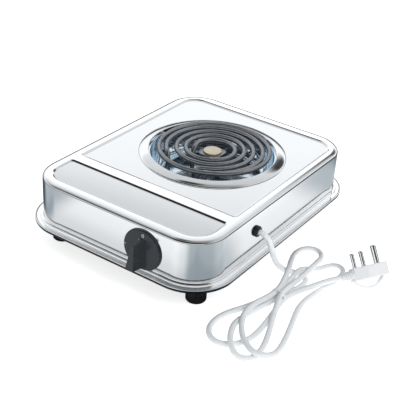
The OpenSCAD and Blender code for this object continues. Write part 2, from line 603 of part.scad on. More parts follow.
module plug_strain_relief() color("#f4f4f2") placed() at_plug() rotate([90, 0, 0]) rotate_extrude($fn = 48)
    polygon([[0, 18.05], [5.4, 18.05], [5.4, 19.6], [4.6, 19.6], [4.6, 20.6], [5.2, 20.6],
        [5.2, 22.2], [4.3, 22.2],
        [4.3, 23.2], [4.9, 23.2], [4.9, 24.8], [4, 24.8], [4, 25.8], [4.6, 25.8], [4.6, 27.4], [3.8, 27.4],
        [3.8, 28.4], [4.2, 28.4], [4.2, 31], [0, 31]]);

loop_r = 24;
loop_band = 3;
loop_deep = 17.6;
line_r = 2.55;
earth_r = 3.55;
pin_step = 0.6;
pin_from = 7.4;

module plug_body() color("#f4f4f2") placed() at_plug() difference() {
    union() {
        translate([0, 0, -7]) linear_extrude(14)
            polygon(softened([[-5.4, -18], [5.4, -18], [15, -6], [14, 20], [-14, 20], [-15, -6]], 2.5));
        intersection() {
            translate([-3.5, 0, loop_r - loop_deep]) rotate([0, 90, 0]) difference() {
                cylinder(r = loop_r, h = 7, $fn = 96);
                translate([0, 0, -1]) cylinder(r = loop_r - loop_band, h = 9, $fn = 96);
            }
            translate([-5, -30, -30]) cube([10, 60, 24]);
        }
    }
    for (s = [-1, 1]) translate([s * 9.5, -7, 1]) cylinder(r = line_r - pin_step + gap, h = 10, $fn = 32);
    translate([0, 15, 1]) cylinder(r = earth_r - pin_step + gap, h = 10, $fn = 32);
}

// A round pin with its tip eased, on a thinner shank that the body is moulded round
module pin(r, h) rotate_extrude($fn = 48)
    polygon([[0, 1], [r - pin_step, 1], [r - pin_step, pin_from], [r, pin_from], [r, h - 1.2],
        [r - 0.4, h - 0.4], [r - 1.1, h], [0, h]]);

module line_pins() color("#d9dcdf") placed()
    at_plug() for (s = [-1, 1]) translate([s * 9.5, -7, 0]) pin(line_r, 23);

module earth_pin() color("#d9dcdf") placed() at_plug() translate([0, 15, 0]) pin(earth_r, 27);

housing();
tray_brackets();
base_tray();
feet();
foot_screws();
foot_nuts();
tray_screws();
burner_ring();
reflector_bowl();
inner_coil();
outer_coil();
coil_support();
hub_plate();
center_cap();
hub_spacer();
hub_bolt();
hub_nut();
element_bushings();
element_terminals();
knob();
switch_shaft();
switch_rotor();
switch_plate();
switch_case();
switch_cover();
switch_contacts();
switch_screws();
cable_grommet();
inner_cord();
cord_clamp();
clamp_screws();
supply_cores();
terminal_block();
block_screws();
live_lead();
neutral_lead();
element_leads();
earth_lead();
earth_stud();
power_cord();
cord_tie();
plug_strain_relief();
plug_body();
line_pins();
earth_pin();
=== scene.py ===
"""A single-coil electric hot plate on a pale studio floor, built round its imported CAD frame."""

import json
import math

import bmesh
import bpy
from mathutils import Matrix, Vector

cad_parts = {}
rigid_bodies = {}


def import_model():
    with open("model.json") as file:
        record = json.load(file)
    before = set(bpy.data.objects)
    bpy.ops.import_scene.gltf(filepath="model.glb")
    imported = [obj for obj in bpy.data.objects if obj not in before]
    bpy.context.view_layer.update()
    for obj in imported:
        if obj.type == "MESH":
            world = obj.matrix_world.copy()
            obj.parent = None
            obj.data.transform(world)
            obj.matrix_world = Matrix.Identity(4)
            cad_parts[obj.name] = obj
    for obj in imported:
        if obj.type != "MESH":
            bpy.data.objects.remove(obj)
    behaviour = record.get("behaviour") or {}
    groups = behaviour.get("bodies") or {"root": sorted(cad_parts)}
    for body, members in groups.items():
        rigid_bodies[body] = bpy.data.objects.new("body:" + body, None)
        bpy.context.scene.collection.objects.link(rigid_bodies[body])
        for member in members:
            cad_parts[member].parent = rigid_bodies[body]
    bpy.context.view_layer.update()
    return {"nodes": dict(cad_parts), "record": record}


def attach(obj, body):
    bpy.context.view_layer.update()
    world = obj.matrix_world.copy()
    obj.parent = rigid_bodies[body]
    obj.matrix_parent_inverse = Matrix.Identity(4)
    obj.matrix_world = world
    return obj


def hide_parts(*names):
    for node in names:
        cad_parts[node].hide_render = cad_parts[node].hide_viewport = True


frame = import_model()

MM = 0.001
FRAME_Y = 7.9  # the frame's origin is this far in front of the housing's middle, in mm


def at(x, y, z):
    """A point given in mm from under the middle of the housing, as a place in the frame."""
    return Vector((x, y + FRAME_Y, z)) * MM


# ---- Camera ----

CAMERA_AT = at(523.3, -782.7, 576.1)
CAMERA_AZIMUTH, CAMERA_ELEVATION, CAMERA_ROLL = (math.radians(a) for a in (32.76, 30.61, 4.02))
CAMERA_LENS = 82.07


def make_camera():
    data = bpy.data.cameras.new("camera")
    data.sensor_width = 36
    data.lens = CAMERA_LENS
    data.clip_start = 0.05
    turn = Matrix.Rotation(CAMERA_AZIMUTH, 4, "Z") @ Matrix.Rotation(math.pi / 2 - CAMERA_ELEVATION, 4, "X")
    turn = turn @ Matrix.Rotation(CAMERA_ROLL, 4, "Z")
    obj = bpy.data.objects.new("camera", data)
    bpy.context.scene.collection.objects.link(obj)
    obj.matrix_world = Matrix.Translation(CAMERA_AT) @ turn
    bpy.context.scene.camera = obj


# ---- Housing sizes, in mm ----

BODY_W, BODY_D, CORNER_R = 231, 299, 39.5
TOP_Z, PANEL_Z, WALL_Z, TRAY_Z = 82, 80.5, 33.2, 27.2
# The top's edge: a wide gentle arc that leans by RIM_LEAN degrees, then a tight one down to the wall
RIM_R, RIM_WIDE, RIM_LEAN = 2.6, 14, 25
# The flat stretch of the outer wall, between heights that hold every hole
WALL_TOP, WALL_FOOT = 70, 34.6
# Where the switch's shaft and the lead's grommet pass through the walls
SHAFT_X, SHAFT_Z = 45, 57
GROMMET_Y, GROMMET_Z = -53, 59
# Holes in the walls: a middle, a radius and the way in
FRONT_HOLES = [((SHAFT_X + x, -BODY_D / 2, SHAFT_Z), r, (0, 1, 0))
    for x, r in ((0, 5), (-13, 1.65), (13, 1.65))]
SIDE_HOLES = [((BODY_W / 2, GROMMET_Y, GROMMET_Z), 4.6, (-1, 0, 0))]
# Half width, front and rear edge, and the front and rear corners' radii
PANELS = {"rear": (103, -77, 134.5, 3, 20), "front": (103, -136.5, -92, 24, 3)}
BURNER = (3, 27)
HOLE_R = 75
# How each panel's edge steps down: distances out from its outline, and heights
STEPS = {
    "rear": [(1.5, 82), (1.25, 81.95), (1.0, 81.8), (-0.1, 81.12), (-0.4, 81.0), (-2.2, 80.55), (-2.7, 80.5)],
    "front": [(1.3, 82), (1.05, 81.94), (0.8, 81.78), (-0.9, 80.72), (-1.15, 80.56), (-1.5, 80.5)],
}


# ---- Materials ----


# Every material of the look under its own name, which Blender may number because the frame has its own
materials = {}


class Nodes:
    """A material with its node tree, and short ways to add to it."""

    def __init__(self, name):
        self.material = materials[name] = bpy.data.materials.new(name)
        self.material.use_nodes = True
        self.tree = self.material.node_tree
        self.shader = self.tree.nodes["Principled BSDF"]
        self.coords = self.tree.nodes.new("ShaderNodeTexCoord").outputs["Object"]

    def add(self, kind, **values):
        node = self.tree.nodes.new("ShaderNode" + kind)
        for key, value in values.items():
            if hasattr(node, key):
                setattr(node, key, value)
            else:
                node.inputs[key.replace("_", " ")].default_value = value
        return node

    def link(self, a, b):
        self.tree.links.new(a, b)

    def noise(self, scale, stretch=(1, 1, 1), detail=3, rough=0.5):
        spread = self.add("Mapping", Scale=stretch)
        self.link(self.coords, spread.inputs["Vector"])
        noise = self.add("TexNoise", Scale=scale, Detail=detail, Roughness=rough)
        self.link(spread.outputs["Vector"], noise.inputs["Vector"])
        return noise.outputs["Fac"]

    def band(self, source, low, high, start=0.0, end=1.0):
        """source from start to end, moved to low to high."""
        node = self.add("MapRange", From_Min=start, From_Max=end, To_Min=low, To_Max=high)
        self.link(source, node.inputs["Value"])
        return node.outputs["Result"]

    def math(self, operation, *values):
        node = self.add("Math", operation=operation)
        for socket, value in zip(node.inputs, values):
            if isinstance(value, (int, float)):
                socket.default_value = value
            else:
                self.link(value, socket)
        return node.outputs[0]

    def axes(self):
        """The three coordinates of the shaded point."""
        split = self.add("SeparateXYZ")
        self.link(self.coords, split.inputs[0])
        return split.outputs

    def bump(self, source, depth):
        node = self.add("Bump", Distance=depth)
        self.link(source, node.inputs["Height"])
        self.link(node.outputs["Normal"], self.shader.inputs["Normal"])

    def mix(self, source, low, high):
        node = self.add("Mix", data_type="RGBA")
        self.link(source, node.inputs["Factor"])
        node.inputs[6].default_value = (*low, 1)
        node.inputs[7].default_value = (*high, 1)
        self.link(node.outputs[2], self.shader.inputs["Base Color"])

    def base(self, colour, metal, rough=None):
        self.shader.inputs["Base Color"].default_value = (*colour, 1)
        self.shader.inputs["Metallic"].default_value = metal
        if rough is not None:
            self.shader.inputs["Roughness"].default_value = rough


def brushed(name, low, high, rough, scale, depth, metal=1.0):
    """Metal with a fine even grain. low and high are its darkest and lightest colour."""
    m = Nodes(name)
    m.base(high, metal)
    lines = m.noise(scale, detail=4, rough=0.6)
    m.mix(m.band(lines, 0, 1, 0.3, 0.7), low, high)
    m.link(m.band(lines, rough[0], rough[1], 0.3, 0.7), m.shader.inputs["Roughness"])
    m.bump(lines, depth)


def moulded(name, colour, rough, scale, depth, change=0.06, coat=0.0, shine=0.5):
    """Plastic, rubber, enamel or ceramic with a faint mottle and a fine surface texture."""
    m = Nodes(name)
    m.base(colour, 0.0)
    m.shader.inputs["Specular IOR Level"].default_value = shine
    m.shader.inputs["Coat Weight"].default_value = coat
    m.shader.inputs["Coat Roughness"].default_value = 0.12
    cloud = m.noise(scale * 0.12, detail=2)
    dark, light = ([min(1, c * by) for c in colour] for by in (1 - change, 1 + change))
    m.mix(m.band(cloud, 0, 1, 0.3, 0.7), dark, light)
    m.link(m.band(cloud, rough * 0.85, rough * 1.15, 0.3, 0.7), m.shader.inputs["Roughness"])
    m.bump(m.noise(scale, detail=3), depth)


def stainless():
    """Polished sheet whose two sunk panels are brushed from side to side. Its colour carries painted light:
    the top's border, the rim's crest and the ledge are lighter as a painted reflection, and the walls and
    panels are darker as painted shade.
    """
    m = Nodes("stainless_sheet")
    m.base((0.66, 0.665, 0.67), 1.0)
    lines = m.noise(14, (1, 45, 45), 4, 0.6)
    _, y, z = m.axes()
    sunk = m.band(z, 1, 0, (PANEL_Z + 0.5) * MM, TOP_Z * MM)
    top = m.band(z, 0, 1, (PANEL_Z - 2) * MM, (PANEL_Z - 1) * MM)
    grain = m.math("MULTIPLY", m.math("MULTIPLY", sunk, top), m.band(lines, 0.82, 1, 0.35, 0.65))
    # Painted reflection: the top's border, the rim's crest and the ledge get the lighter colour, and plain
    # darkens everything else as painted shade
    rim = m.band(z, 0, 1, (TOP_Z - 1) * MM, (TOP_Z - 0.3) * MM)
    ledge = m.band(z, 1, 0, (WALL_Z + 0.2) * MM, (WALL_Z + 1.2) * MM)
    plain = m.band(m.math("MAXIMUM", rim, ledge), 0.72, 0)
    # Painted shade and light: the front strip is darker than the walls, and the rear panel a little lighter,
    # over the panels' brushed grain
    brushed_painted_shade = m.math("MULTIPLY", grain, m.band(y, 0.28, -0.06, -0.085, -0.07))
    m.mix(m.math("ADD", plain, brushed_painted_shade), (0.86, 0.865, 0.87), (0.555, 0.56, 0.568))
    m.link(m.band(grain, 0.09, 0.17), m.shader.inputs["Roughness"])
    m.bump(lines, 0.000001)


def tray_steel():
    """Sheet steel, bright on its rolled rim's top and near black below it as a painted shadow under the rim.
    """
    m = Nodes("tray_steel")
    m.base((0.6, 0.61, 0.62), 1.0)
    # Painted shadow: the steel turns near black below the rim's top
    bright = m.band(m.axes()[2], 0, 1, (TRAY_Z + 3.3) * MM, (TRAY_Z + 3.7) * MM)
    m.mix(bright, (0.022, 0.022, 0.024), (0.72, 0.73, 0.74))
    mottle = m.noise(180)
    m.link(m.band(mottle, 0.08, 0.16), m.shader.inputs["Roughness"])
    m.bump(mottle, 0.000002)


def make_materials():
    stainless()
    brushed("chrome_trim", (0.64, 0.65, 0.66), (0.68, 0.685, 0.69), (0.04, 0.08), 60, 0.000002)
    brushed("bowl_steel", (0.42, 0.52, 0.60), (0.74, 0.84, 0.92), (0.05, 0.16), 60, 0.0003)
    brushed("zinc_steel", (0.42, 0.44, 0.46), (0.62, 0.64, 0.66), (0.25, 0.4), 220, 0.00001)
    tray_steel()
    brushed("element_sheath", (0.20, 0.21, 0.225), (0.28, 0.29, 0.305), (0.3, 0.38), 260, 0.000003, 0.9)
    moulded("cream_enamel", (0.70, 0.60, 0.42), 0.3, 500, 0.00001, coat=0.5)
    moulded("ceramic", (0.72, 0.70, 0.65), 0.55, 700, 0.00003)
    brushed("brass", (0.62, 0.47, 0.20), (0.78, 0.62, 0.30), (0.22, 0.36), 200, 0.00001)
    moulded("dark_knob", (0.0135, 0.0175, 0.0215), 0.3, 1500, 0.000004, shine=0.28)
    moulded("switch_resin", (0.30, 0.16, 0.07), 0.5, 600, 0.00002)
    moulded("black_resin", (0.02, 0.02, 0.022), 0.45, 600, 0.00002)
    moulded("black_rubber", (0.007, 0.007, 0.008), 0.42, 1400, 0.00003)
    moulded("white_pvc", (0.82, 0.84, 0.85), 0.38, 300, 0.00006, 0.03, coat=0.1)
    moulded("white_tie", (0.85, 0.86, 0.87), 0.25, 500, 0.00003, 0.03)
    moulded("white_plug", (0.82, 0.83, 0.84), 0.36, 1100, 0.00001, 0.02, coat=0.1)
    brushed("nickel_pins", (0.60, 0.61, 0.62), (0.78, 0.79, 0.80), (0.1, 0.2), 220, 0.000002)
    moulded("brown_insulation", (0.12, 0.05, 0.02), 0.4, 500, 0.00002)
    moulded("blue_insulation", (0.02, 0.07, 0.30), 0.4, 500, 0.00002)
    moulded("red_insulation", (0.30, 0.03, 0.02), 0.4, 500, 0.00002)
    moulded("green_insulation", (0.06, 0.26, 0.04), 0.4, 500, 0.00002)
    moulded("mark_paint", (0.62, 0.65, 0.67), 0.5, 600, 0.00001)


make_materials()


# ---- Building pieces ----


def finish_piece(obj, slot, body, replaces):
    bpy.context.scene.collection.objects.link(obj)
    obj.data.materials.append(materials[slot])
    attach(obj, body)
    if replaces:
        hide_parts(*replaces)
    return obj


def mesh_piece(name, bm, slot, body="base", replaces=(), sharp=40):
    """Makes a shaded piece from bm. Edges sharper than that many degrees stay crisp."""
    bmesh.ops.remove_doubles(bm, verts=bm.verts, dist=0.0000005)
    bmesh.ops.recalc_face_normals(bm, faces=bm.faces)
    mesh = bpy.data.meshes.new(name)
    bm.to_mesh(mesh)
    bm.free()
    mesh.polygons.foreach_set("use_smooth", [True] * len(mesh.polygons))
    mesh.set_sharp_from_angle(angle=math.radians(sharp))
    obj = bpy.data.objects.new(name, mesh)
    even = obj.modifiers.new("even_shading", "WEIGHTED_NORMAL")
    even.keep_sharp = True
    return finish_piece(obj, slot, body, replaces)


def arc(x, y, r, a0, a1, n=6):
    """Points of an arc from angle a0 to a1, in degrees."""
    turns = [math.radians(a0 + (a1 - a0) * i / n) for i in range(n + 1)]
    return [(x + r * math.cos(a), y + r * math.sin(a)) for a in turns]


def lathe(bm, profile, place=None, segments=96, closed=True):
    """Spins a profile of (radius, height) in mm round Z, then moves it with place, a matrix in metres."""
    rings = []
    for r, z in profile:
        if r < 1e-6:
            rings.append([bm.verts.new((0, 0, z * MM))])
            continue
        ring = []
        for i in range(segments):
            a = 2 * math.pi * i / segments
            ring.append(bm.verts.new((r * math.cos(a) * MM, r * math.sin(a) * MM, z * MM)))
        rings.append(ring)
    pairs = list(zip(rings, rings[1:]))
    if closed:
        pairs.append((rings[-1], rings[0]))
    for low, high in pairs:
        if len(low) == 1 and len(high) == 1:
            continue
        for i in range(segments):
            j = (i + 1) % segments
            if len(low) == 1:
                bm.faces.new((low[0], high[j], high[i]))
            elif len(high) == 1:
                bm.faces.new((low[i], low[j], high[0]))
            else:
                bm.faces.new((low[i], low[j], high[j], high[i]))
    if place is not None:
        bmesh.ops.transform(bm, matrix=place, verts=[v for ring in rings for v in ring])


# The way out of each corner of a rounded outline, and where its arc starts in degrees
QUARTERS = ((1, 1, 0), (-1, 1, 90), (-1, -1, 180), (1, -1, 270))


def body_loop(reach):
    """Points round the body in mm, whose corner arcs have radius reach."""
    points = []
    for sx, sy, a0 in QUARTERS:
        points += arc(sx * (BODY_W / 2 - CORNER_R), sy * (BODY_D / 2 - CORNER_R), reach, a0, a0 + 90, 18)
    return points


def panel_loop(panel, grow):
    """Points round a pressed panel, grown outwards by grow mm."""
    x, y0, y1, front_r, rear_r = panel
    points = []
    for sx, sy, a0 in QUARTERS:
        y, r = (y1 - rear_r, rear_r) if sy > 0 else (y0 + front_r, front_r)
        points += arc(sx * (x - r), y, r + grow, a0, a0 + 90, 10)
    return points


def ring_verts(bm, points, z):
    return [bm.verts.new(at(x, y, z)) for x, y in points]


def bridge(bm, a, b):
    for i in range(len(a)):
        j = (i + 1) % len(a)
        bm.faces.new((a[i], a[j], b[j], b[i]))


def skin(bm, rings):
    """Joins each ring of vertices to the next one."""
    for a, b in zip(rings, rings[1:]):
        bridge(bm, a, b)


def sweep_body(bm, profile):
    """Carries a profile of (distance from a corner's middle, height) round the body's outline."""
    rings = [ring_verts(bm, body_loop(x), z) for x, z in profile]
    skin(bm, rings)
    return rings


def edge_loop(bm, verts):
    return [bm.edges.get((a, b)) or bm.edges.new((a, b)) for a, b in zip(verts, verts[1:] + verts[:1])]


def faces_of(result):
    return [g for g in result["geom"] if isinstance(g, bmesh.types.BMFace)]


def fill(bm, edges, way=(0, 0, 1)):
    """Fills the flat area between loops of edges. The loops inside the outer one stay open."""
    return faces_of(bmesh.ops.triangle_fill(bm, use_beauty=True, use_dissolve=False, edges=edges, normal=way))


def curve_piece(name, points, radius, slot, body="base", replaces=(), cyclic=False, sides=6):
    """A round tube along points, in metres."""
    data = bpy.data.curves.new(name, "CURVE")
    data.dimensions = "3D"
    data.bevel_depth = radius
    data.bevel_resolution = sides
    data.use_fill_caps = not cyclic
    line = data.splines.new("POLY")
    line.points.add(len(points) - 1)
    for p, q in zip(line.points, points):
        p.co = (*q, 1)
    line.use_cyclic_u = cyclic
    line.use_smooth = True
    return finish_piece(bpy.data.objects.new(name, data), slot, body, replaces)


def smooth_path(points, steps):
    """A smooth curve through points, with that many steps between each two."""
    out = []
    last = len(points) - 1
    for i in range(last):
        a, b, c, d = (points[max(0, min(last, k))] for k in (i - 1, i, i + 1, i + 2))
        for k in range(steps):
            t = k / steps
            bend, twist = 2 * a - 5 * b + 4 * c - d, 3 * b - a - 3 * c + d
            out.append(0.5 * (2 * b + (c - a) * t + bend * t * t + twist * t ** 3))
    return out + [points[-1]]


# ---- Mains lead ----

CORD_D = 6
# Height of the lead's middle where it lies on the surface, and where it lies across another strand
LAY = 3.2
OVER = 9.4
ROUTE = [
    # Out of the grommet, down to the surface and round into the tie
    (120.3, -53, 59), (125, -53, 58.3), (128.8, -52.2, 55.2), (131, -50.2, 49.5), (132, -46.8, 41),
    (133.2, -41.3, 27), (135.4, -33.5, 14), (139.8, -26, 6.5), (146.5, -19.5, 3.6), (154.5, -17, LAY),
    (162.3, -20.5, LAY), (166.3, -29, LAY), (165.8, -40.5, LAY), (162.5, -52, LAY), (159.5, -62, 3.5),
    (158, -71, 4),
    # Middle loop in front
    (155, -86, LAY), (151, -101, LAY), (148.5, -116, LAY), (148.5, -130, 5.5), (151.5, -144, OVER),
    (157, -158, OVER), (165.5, -170.5, 9), (176, -177, 6), (185.5, -173.5, 3.6), (189.8, -163.5, LAY),
    (188.8, -150, LAY), (185, -136.2, 3.4), (179.8, -121.8, 4.8), (174.8, -108.4, 7.6), (170.2, -96, 9.6),
    (165.5, -83, 10.6), (161.2, -71, 9.6),
    # Long loop at the back
    (160.6, -58, OVER), (161.5, -40, OVER), (162.5, -23, 10), (162.5, -7, 10.8), (160.8, 8, 8.6),
    (158, 21, 5.2), (153, 31, 3.6), (144.5, 35.5, LAY), (135.5, 31.5, LAY), (130.8, 21.5, 3.8),
    (132, 8, 6), (136.5, -6, 9), (142, -20, 11.2), (147, -33, 11.8), (151, -47, 11), (154, -59, 10.2),
    (154.8, -71, 9.6),
    # Over the left loop and down to the right
    (153, -84, OVER), (149.5, -97, OVER), (148.2, -111, OVER), (150.5, -124, 10), (156, -136.5, 10),
    (163.5, -148, OVER), (172.5, -157.5, OVER), (183, -164.5, 9.8), (191.4, -167.4, 9.8),
    (199.6, -163.2, 8.4), (203.4, -153.5, 5.4), (202.6, -141.4, 3.4), (199.9, -127.8, LAY),
    (196.1, -113.8, LAY), (191.7, -99.2, LAY), (187, -84.5, LAY), (183.3, -69.5, LAY),
    (182.5, -53.5, LAY), (184.5, -37, LAY),
    # Right loop at the back
    (187, -20, LAY), (189.5, -4, LAY), (190.3, 9, LAY), (187.3, 18.5, LAY), (180, 22.5, LAY),
    (172.7, 18.8, LAY), (168, 10, LAY), (163.5, 1, LAY), (158.5, -8, 6.2), (154.5, -18.5, 9.6),
    (152.8, -30, 7.2), (152.6, -44, 4), (152.2, -58, 3.5), (151.6, -71, 4),
    # Left loop in front
    (147.8, -85, LAY), (142.8, -99, LAY), (137.5, -112, LAY), (131.8, -125, LAY), (128.8, -139, LAY),
    (130, -153, LAY), (137, -165, LAY), (149, -170, LAY), (161, -165.5, LAY), (169, -154, LAY),
    (172.3, -139, LAY), (171.5, -121, LAY), (169, -103, LAY), (166.3, -86, 3.5), (164.4, -71, 4),
    # Out of the tie and up to the plug
    (166.3, -59.5, 4.4), (171, -49, 6.2), (177.5, -40, 8.8), (184.5, -31.5, 11.8), (192, -22.6, 14.6),
    (199.53, -12.57, 15.8),
]
TIE_X, TIE_Y = 158, -71
# How often the route is evened out, and the points between each two of its own
CORD_ROUNDS, CORD_STEPS = 6, 6


def cord_line():
    path = smooth_path([at(*p) for p in ROUTE], CORD_STEPS)
    for _ in range(CORD_ROUNDS):
        path = [path[0]] + [(a + 2 * b + c) / 4 for a, b, c in zip(path, path[1:], path[2:])] + [path[-1]]
    return path


def make_tie():
    """A flat band pulled round the five strands."""
    outline = []
    spread = CORD_D / 2 + 0.55
    # Middles of the outer strands across the tie, and the arc that each one gives the band
    for x, z, a0, a1 in ((-6.4, 4, 180, 270), (6.4, 4, 270, 360), (3.2, 9.6, 30, 90), (-3.2, 9.6, 90, 150)):
        outline += arc(x, z, spread, a0, a1, 8)
    bm = bmesh.new()
    rings = []
    for k in range(9):
        across = 1.3 * math.cos(math.pi * k / 8)
        proud = 0.4 * math.sin(math.pi * k / 8) / 12
        rings.append([bm.verts.new(at(TIE_X + x * (1 + proud), TIE_Y + across, z + (z - 6) * proud))
            for x, z in outline])
    skin(bm, rings + rings[:1])
    mesh_piece("tie_band", bm, "white_tie", replaces=("cord_tie",), sharp=60)


# ---- Plug ----

PLUG_AT = at(215.5, 14, 15.8)
PLUG_TURN, PLUG_TILT = math.radians(31), math.radians(41)
# The pull loop's arc: its radius, how far its middle is above the plug's, and its ends in degrees
LOOP_R, LOOP_UP, LOOP_START, LOOP_END = 22.5, 6.4, 213, 327


def plug_matrix():
    turn = Matrix.Rotation(-PLUG_TURN, 4, "Z") @ Matrix.Rotation(-PLUG_TILT, 4, "Y")
    return Matrix.Translation(PLUG_AT) @ turn


def make_plug():
    place = plug_matrix()
    outline = [(-5.4, -18), (5.4, -18), (15, -6), (14, 20), (-14, 20), (-15, -6)]
    bm = bmesh.new()
    low = [bm.verts.new(Vector((x, y, -7)) * MM) for x, y in outline]
    high = [bm.verts.new(Vector((x, y, 7)) * MM) for x, y in outline]
    bm.faces.new(low[::-1])
    bm.faces.new(high)
    bridge(bm, low, high)
    upright = [e for e in bm.edges if abs(e.verts[0].co.z - e.verts[1].co.z) > 0.001]
    bmesh.ops.bevel(bm, geom=upright, offset=2.2 * MM, segments=5, profile=0.5, affect="EDGES")
    rim = [e for e in bm.edges if abs(e.verts[0].co.z - e.verts[1].co.z) < 1e-6]
    bmesh.ops.bevel(bm, geom=rim, offset=1.1 * MM, segments=3, profile=0.5, affect="EDGES")
    bmesh.ops.transform(bm, matrix=place, verts=bm.verts)
    mesh_piece("plug_shell", bm, "white_plug", replaces=("plug_body",), sharp=50)

    bm = bmesh.new()
    rings = []
    for i in range(41):
        a = math.radians(LOOP_START + (LOOP_END - LOOP_START) * i / 40)
        ring = []
        for k in range(16):
            b = 2 * math.pi * k / 16
            r = LOOP_R + 1.5 * math.copysign(abs(math.sin(b)) ** 0.6, math.sin(b))
            x = 3.4 * math.copysign(abs(math.cos(b)) ** 0.5, math.cos(b))
            ring.append(bm.verts.new(Vector((x, r * math.cos(a), LOOP_UP + r * math.sin(a))) * MM))
        rings.append(ring)
    skin(bm, rings)
    bm.faces.new(rings[0])
    bm.faces.new(rings[-1][::-1])
    bmesh.ops.transform(bm, matrix=place, verts=bm.verts)
    mesh_piece("plug_loop", bm, "white_plug", sharp=60)

    bm = bmesh.new()
    profile = [(0, 17), (5.4, 17), (5.4, 19)]
    for i in range(5):
        y = 19.6 + i * 2.2
        r = 5.2 - i * 0.27
        profile += [(r - 0.9, y), (r - 0.9, y + 0.5)]
        profile += [(r - 0.2, y + 0.7), (r, y + 1.1), (r, y + 1.7), (r - 0.2, y + 2.1)]
    profile += [(3.6, 30.8), (3.1, 31), (0, 31)]
    spin = Matrix.Rotation(math.pi / 2, 4, "X")
    lathe(bm, profile, place @ spin, 48, closed=False)
    mesh_piece("plug_relief", bm, "white_pvc", replaces=("plug_strain_relief",), sharp=60)

    pins = {"line_pins": ([(-9.5, -7), (9.5, -7)], 2.55, 23), "earth_pin": ([(0, 15)], 3.55, 27)}
    for node, (spots, r, top) in pins.items():
        bm = bmesh.new()
        for x, y in spots:
            move = Matrix.Translation(Vector((x, y, 0)) * MM)
            profile = [(0, 5), (r, 5), (r, top - 1.6), *arc(r - 1.6, top - 1.6, 1.6, 0, 90), (0, top)]
            lathe(bm, profile, place @ move, 40, closed=False)
        mesh_piece(node + "_turned", bm, "nickel_pins", replaces=(node,), sharp=50)


# ---- Housing ----

def crown(bm, faces):
    """Arches the front strip by a quarter of a millimetre from front to rear."""
    _, y0, y1, _, _ = PANELS["front"]
    half = (y1 - y0) / 2 + STEPS["front"][-1][0]
    middle = (y0 + y1) / 2
    for k in range(-7, 8):
        geom = [*faces, *{e for f in faces for e in f.edges}, *{v for f in faces for v in f.verts}]
        place = at(0, middle + half * k / 8, 0)
        faces = faces_of(bmesh.ops.bisect_plane(bm, geom=geom, plane_co=place, plane_no=(0, 1, 0)))
    for v in {v for f in faces for v in f.verts}:
        across = (v.co.y / MM - FRAME_Y - middle) / half
        v.co.z += 0.25 * MM * (1 - across * across)


def pierce(bm, walls, holes):
    """Cuts round holes through a flat wall. walls are the corners of its outer and inner face, and each hole
    is a middle on the outer face, a radius and the way in, all in mm."""
    bmesh.ops.delete(bm, geom=[bm.faces.get(w) for w in walls], context="FACES_ONLY")
    tunnels = []
    for middle, radius, way in holes:
        way = Vector(way)
        side = way.cross(Vector((0, 0, 1)))
        turn = arc(0, 0, radius, 0, 360, 40)[:-1]
        circle = [Vector(middle) + side * x + Vector((0, 0, z)) for x, z in turn]
        tunnels.append([[bm.verts.new(at(*(p + way * deep))) for p in circle] for deep in (0, 1)])
    for face, corners in enumerate(walls):
        edges = edge_loop(bm, list(corners))
        for tunnel in tunnels:
            edges += edge_loop(bm, tunnel[face])
        fill(bm, edges, holes[0][2])
    for tunnel in tunnels:
        bridge(bm, *tunnel)


def make_housing():
    r, z = CORNER_R, WALL_Z
    lean = math.radians(RIM_LEAN)
    inset = RIM_WIDE * math.sin(lean) + RIM_R * (1 - math.sin(lean))
    drop = RIM_WIDE * (1 - math.cos(lean)) + RIM_R * math.cos(lean)
    profile = arc(r - inset, TOP_Z - RIM_WIDE, RIM_WIDE, 90, 90 - RIM_LEAN, 6)
    profile += arc(r - RIM_R, TOP_Z - drop, RIM_R, 90 - RIM_LEAN, 0, 8)[1:]
    profile += [(r, WALL_TOP), (r, WALL_FOOT)]
    # The stepped flange, then back under it and up the inner wall
    profile += arc(r + 1, z + 1, 1, 180, 270, 6)
    profile += arc(r + 3.15, z - 0.25, 0.25, 90, 0, 4) + arc(r + 3.65, z - 1.75, 0.25, 180, 270, 4)
    profile += arc(r + 7.1, z - 2.4, 0.4, 90, 0, 5) + [(r + 7.5, TRAY_Z + 1)]
    profile += [(r + 6.5, TRAY_Z + 1), (r + 6.5, z - 3), (r + 2.4, z - 3), (r + 2.4, z - 1), (r - 1, z - 1)]
    profile += [(r - 1, 76)]
    bm = bmesh.new()
    rings = sweep_body(bm, profile)
    # The outer and inner face of the front wall and of the right wall, between two corners
    n = len(rings[0]) // 4
    outer, inner = profile.index((r, WALL_TOP)), len(rings) - 2
    for i, j, holes in ((3 * n - 1, 3 * n, FRONT_HOLES), (4 * n - 1, 0, SIDE_HOLES)):
        walls = [(rings[k][i], rings[k][j], rings[k + 1][j], rings[k + 1][i]) for k in (outer, inner)]
        pierce(bm, walls, holes)
    edges = edge_loop(bm, rings[0])
    floors = {}
    for name, panel in PANELS.items():
        steps = [ring_verts(bm, panel_loop(panel, grow), height) for grow, height in STEPS[name]]
        skin(bm, steps)
        edges += edge_loop(bm, steps[0])
        floors[name] = steps[-1]
    fill(bm, edges)
    circle = arc(*BURNER, HOLE_R, 0, 360, 96)[:-1]
    lip = [ring_verts(bm, circle, height) for height in (PANEL_Z, PANEL_Z - 1)]
    bridge(bm, *lip)
    fill(bm, edge_loop(bm, floors["rear"]) + edge_loop(bm, lip[0]))
    crown(bm, fill(bm, edge_loop(bm, floors["front"])))
    mesh_piece("housing_shell", bm, "stainless_sheet", replaces=("housing",), sharp=50)


